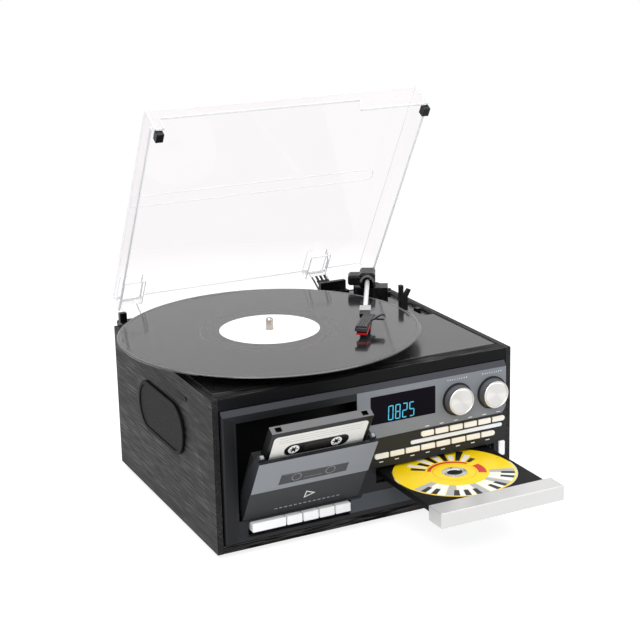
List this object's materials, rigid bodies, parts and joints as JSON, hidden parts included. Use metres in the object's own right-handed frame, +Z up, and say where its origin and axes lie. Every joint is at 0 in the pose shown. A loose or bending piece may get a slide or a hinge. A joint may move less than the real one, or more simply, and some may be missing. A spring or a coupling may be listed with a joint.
{
  "type": "music center",
  "caption": "Wooden-cased table-top record player with clear hinged lid, cassette door, disc tray, radio controls and side speakers; its lid, arm, door, tray, knobs and buttons move.",
  "frame": {"origin": "centre of the plan outline of the whole object as shown, lid and tray open, on the surface under its feet", "axes": "+Z up, +X to the right seen from the front, +Y towards the back; the front with its controls faces -Y"},
  "size_m": [0.3516, 0.4262, 0.3941],
  "materials": {
    "arm_clip": "satin black",
    "auto_stop_switch": "silver",
    "back_panel": "black fibreboard",
    "bottom_board": "black wood-grain foil",
    "cassette": "satin black",
    "cassette_door": "dark grey",
    "cassette_key_1": "ivory",
    "cassette_key_2": "ivory",
    "cassette_key_3": "ivory",
    "cassette_key_4": "ivory",
    "cassette_key_5": "ivory",
    "cassette_mechanism": "plated steel",
    "cd_mechanism": "plated steel",
    "cd_tray": "silver bar, dark tray",
    "cue_lever": "satin black",
    "deck_plate": "satin black",
    "disc": "printed disc",
    "display_window": "dark tinted window",
    "drive_belt": "black rubber",
    "drive_motor": "plated steel",
    "eject_button": "ivory",
    "foot_back_left": "black rubber",
    "foot_back_right": "black rubber",
    "foot_front_left": "black rubber",
    "foot_front_right": "black rubber",
    "front_bezel": "dark grey",
    "headshell": "satin black",
    "left_hinge_bracket": "satin black",
    "left_side_panel": "black wood-grain foil",
    "left_speaker": "black cloth-covered grille",
    "lid": "clear acrylic",
    "lower_button_1": "ivory",
    "lower_button_2": "ivory",
    "lower_button_3": "ivory",
    "lower_button_4": "ivory",
    "lower_button_5": "ivory",
    "lower_button_6": "ivory",
    "lower_button_7": "ivory",
    "lower_button_8": "ivory",
    "main_board": "green circuit board",
    "motor_pulley": "turned brass",
    "platter": "black coated",
    "power_inlet": "satin black",
    "record": "grooved vinyl",
    "right_hinge_bracket": "satin black",
    "right_side_panel": "black wood-grain foil",
    "right_speaker": "black cloth-covered grille",
    "speed_switch": "silver",
    "tonearm": "silver tube",
    "tonearm_base": "satin black",
    "tonearm_gimbal": "satin black",
    "top_board": "black wood-grain foil",
    "tuning_knob": "spun face",
    "upper_button_1": "ivory",
    "upper_button_2": "ivory",
    "upper_button_3": "ivory",
    "upper_button_4": "ivory",
    "upper_button_5": "ivory",
    "upper_button_6": "ivory",
    "volume_knob": "spun face"
  },
  "bodies": {
    "case": {"arm_clip": "arm_clip", "back_panel": "back_panel", "bottom_board": "bottom_board", "cassette_mechanism": "cassette_mechanism", "cd_mechanism": "cd_mechanism", "deck_plate": "deck_plate", "display_window": "display_window", "drive_belt": "drive_belt", "drive_motor": "drive_motor", "foot_back_left": "foot_back_left", "foot_back_right": "foot_back_right", "foot_front_left": "foot_front_left", "foot_front_right": "foot_front_right", "front_bezel": "front_bezel", "left_hinge_bracket": "left_hinge_bracket", "left_side_panel": "left_side_panel", "left_speaker": "left_speaker", "main_board": "main_board", "power_inlet": "power_inlet", "right_hinge_bracket": "right_hinge_bracket", "right_side_panel": "right_side_panel", "right_speaker": "right_speaker", "tonearm_base": "tonearm_base", "top_board": "top_board"},
    "lid": {"lid": "lid"},
    "turntable": {"platter": "platter", "record": "record"},
    "pulley": {"motor_pulley": "motor_pulley"},
    "arm_carrier": {"tonearm_gimbal": "tonearm_gimbal"},
    "arm": {"tonearm": "tonearm", "headshell": "headshell"},
    "cue_lever": {"cue_lever": "cue_lever"},
    "speed_switch": {"speed_switch": "speed_switch"},
    "auto_stop_switch": {"auto_stop_switch": "auto_stop_switch"},
    "volume_knob": {"volume_knob": "volume_knob"},
    "tuning_knob": {"tuning_knob": "tuning_knob"},
    "tray": {"cd_tray": "cd_tray"},
    "disc": {"disc": "disc"},
    "door": {"cassette_door": "cassette_door"},
    "cassette": {"cassette": "cassette"},
    "cassette_key_1": {"cassette_key_1": "cassette_key_1"},
    "cassette_key_2": {"cassette_key_2": "cassette_key_2"},
    "cassette_key_3": {"cassette_key_3": "cassette_key_3"},
    "cassette_key_4": {"cassette_key_4": "cassette_key_4"},
    "cassette_key_5": {"cassette_key_5": "cassette_key_5"},
    "eject_button": {"eject_button": "eject_button"},
    "lower_button_1": {"lower_button_1": "lower_button_1"},
    "lower_button_2": {"lower_button_2": "lower_button_2"},
    "lower_button_3": {"lower_button_3": "lower_button_3"},
    "lower_button_4": {"lower_button_4": "lower_button_4"},
    "lower_button_5": {"lower_button_5": "lower_button_5"},
    "lower_button_6": {"lower_button_6": "lower_button_6"},
    "lower_button_7": {"lower_button_7": "lower_button_7"},
    "lower_button_8": {"lower_button_8": "lower_button_8"},
    "upper_button_1": {"upper_button_1": "upper_button_1"},
    "upper_button_2": {"upper_button_2": "upper_button_2"},
    "upper_button_3": {"upper_button_3": "upper_button_3"},
    "upper_button_4": {"upper_button_4": "upper_button_4"},
    "upper_button_5": {"upper_button_5": "upper_button_5"},
    "upper_button_6": {"upper_button_6": "upper_button_6"}
  },
  "joints": [
    {"name": "lid_hinge", "type": "hinge", "parent": "case", "child": "lid", "pos_m": [0.01498, 0.18322, 0.157], "axis": [-1, 0, 0], "range_deg": [-58.85, 0]},
    {"name": "platter_spin", "type": "hinge", "parent": "case", "child": "turntable", "pos_m": [-0.02502, 0.04702, 0.1676], "axis": [0, 0, 1], "continuous": true},
    {"name": "pulley_spin", "type": "hinge", "parent": "case", "child": "pulley", "pos_m": [-0.08018, 0.10217, 0.16], "axis": [0, 0, 1], "continuous": true},
    {"name": "arm_swing", "type": "hinge", "parent": "case", "child": "arm_carrier", "pos_m": [0.13048, 0.13262, 0.1795], "axis": [0, 0, 1], "range_deg": [-15, 26]},
    {"name": "arm_lift", "type": "hinge", "parent": "arm_carrier", "child": "arm", "pos_m": [0.13048, 0.13262, 0.1795], "axis": [-0.8755, 0.4833, 0], "range_deg": [0, 8]},
    {"name": "cue_turn", "type": "hinge", "parent": "case", "child": "cue_lever", "pos_m": [0.14877, 0.12023, 0.166], "axis": [-0.8755, 0.4833, 0], "range_deg": [0, 60]},
    {"name": "speed_switch_slide", "type": "slide", "parent": "case", "child": "speed_switch", "axis": [0, 1, 0], "range_m": [-0.005, 0.005]},
    {"name": "auto_stop_switch_slide", "type": "slide", "parent": "case", "child": "auto_stop_switch", "axis": [0, 1, 0], "range_m": [0, 0.006]},
    {"name": "volume_turn", "type": "hinge", "parent": "case", "child": "volume_knob", "pos_m": [0.10948, -0.09128, 0.1142], "axis": [0, -1, 0], "range_deg": [-150, 150]},
    {"name": "tuning_turn", "type": "hinge", "parent": "case", "child": "tuning_knob", "pos_m": [0.14868, -0.09128, 0.1143], "axis": [0, -1, 0], "continuous": true},
    {"name": "tray_slide", "type": "slide", "parent": "case", "child": "tray", "axis": [0, -1, 0], "range_m": [-0.12, 0]},
    {"name": "disc_spin", "type": "hinge", "parent": "tray", "child": "disc", "pos_m": [0.08378, -0.12958, 0.0562], "axis": [0, 0, 1], "continuous": true},
    {"name": "door_tilt", "type": "hinge", "parent": "case", "child": "door", "pos_m": [-0.05983, -0.08578, 0.04], "axis": [1, 0, 0], "range_deg": [-31, 0]},
    {"name": "cassette_slide", "type": "slide", "parent": "door", "child": "cassette", "axis": [0, -0.515, 0.8572], "range_m": [-0.031, 0]},
    {"name": "cassette_key_1_press", "type": "slide", "parent": "case", "child": "cassette_key_1", "axis": [0, 0, -1], "range_m": [0, 0.004], "stiffness_N_per_m": 300, "springref_m": -0.002},
    {"name": "cassette_key_2_press", "type": "slide", "parent": "case", "child": "cassette_key_2", "axis": [0, 0, -1], "range_m": [0, 0.004], "stiffness_N_per_m": 300, "springref_m": -0.002},
    {"name": "cassette_key_3_press", "type": "slide", "parent": "case", "child": "cassette_key_3", "axis": [0, 0, -1], "range_m": [0, 0.004], "stiffness_N_per_m": 300, "springref_m": -0.002},
    {"name": "cassette_key_4_press", "type": "slide", "parent": "case", "child": "cassette_key_4", "axis": [0, 0, -1], "range_m": [0, 0.004], "stiffness_N_per_m": 300, "springref_m": -0.002},
    {"name": "cassette_key_5_press", "type": "slide", "parent": "case", "child": "cassette_key_5", "axis": [0, 0, -1], "range_m": [0, 0.004], "stiffness_N_per_m": 300, "springref_m": -0.002},
    {"name": "eject_button_press", "type": "slide", "parent": "case", "child": "eject_button", "axis": [0, 1, 0], "range_m": [0, 0.001], "stiffness_N_per_m": 300, "springref_m": -0.001},
    {"name": "lower_button_1_press", "type": "slide", "parent": "case", "child": "lower_button_1", "axis": [0, 1, 0], "range_m": [0, 0.001], "stiffness_N_per_m": 300, "springref_m": -0.001},
    {"name": "lower_button_2_press", "type": "slide", "parent": "case", "child": "lower_button_2", "axis": [0, 1, 0], "range_m": [0, 0.001], "stiffness_N_per_m": 300, "springref_m": -0.001},
    {"name": "lower_button_3_press", "type": "slide", "parent": "case", "child": "lower_button_3", "axis": [0, 1, 0], "range_m": [0, 0.001], "stiffness_N_per_m": 300, "springref_m": -0.001},
    {"name": "lower_button_4_press", "type": "slide", "parent": "case", "child": "lower_button_4", "axis": [0, 1, 0], "range_m": [0, 0.001], "stiffness_N_per_m": 300, "springref_m": -0.001},
    {"name": "lower_button_5_press", "type": "slide", "parent": "case", "child": "lower_button_5", "axis": [0, 1, 0], "range_m": [0, 0.001], "stiffness_N_per_m": 300, "springref_m": -0.001},
    {"name": "lower_button_6_press", "type": "slide", "parent": "case", "child": "lower_button_6", "axis": [0, 1, 0], "range_m": [0, 0.001], "stiffness_N_per_m": 300, "springref_m": -0.001},
    {"name": "lower_button_7_press", "type": "slide", "parent": "case", "child": "lower_button_7", "axis": [0, 1, 0], "range_m": [0, 0.001], "stiffness_N_per_m": 300, "springref_m": -0.001},
    {"name": "lower_button_8_press", "type": "slide", "parent": "case", "child": "lower_button_8", "axis": [0, 1, 0], "range_m": [0, 0.001], "stiffness_N_per_m": 300, "springref_m": -0.001},
    {"name": "upper_button_1_press", "type": "slide", "parent": "case", "child": "upper_button_1", "axis": [0, 1, 0], "range_m": [0, 0.001], "stiffness_N_per_m": 300, "springref_m": -0.001},
    {"name": "upper_button_2_press", "type": "slide", "parent": "case", "child": "upper_button_2", "axis": [0, 1, 0], "range_m": [0, 0.001], "stiffness_N_per_m": 300, "springref_m": -0.001},
    {"name": "upper_button_3_press", "type": "slide", "parent": "case", "child": "upper_button_3", "axis": [0, 1, 0], "range_m": [0, 0.001], "stiffness_N_per_m": 300, "springref_m": -0.001},
    {"name": "upper_button_4_press", "type": "slide", "parent": "case", "child": "upper_button_4", "axis": [0, 1, 0], "range_m": [0, 0.001], "stiffness_N_per_m": 300, "springref_m": -0.001},
    {"name": "upper_button_5_press", "type": "slide", "parent": "case", "child": "upper_button_5", "axis": [0, 1, 0], "range_m": [0, 0.001], "stiffness_N_per_m": 300, "springref_m": -0.001},
    {"name": "upper_button_6_press", "type": "slide", "parent": "case", "child": "upper_button_6", "axis": [0, 1, 0], "range_m": [0, 0.001], "stiffness_N_per_m": 300, "springref_m": -0.001}
  ],
  "couplings": [
    {"joint": "pulley_spin", "follows": "platter_spin", "ratio": 10.821},
    {"joint": "cue_turn", "follows": "arm_lift", "ratio": 7.5},
    {"joint": "cassette_slide", "follows": "door_tilt", "m_per_rad": 0.057296}
  ]
}
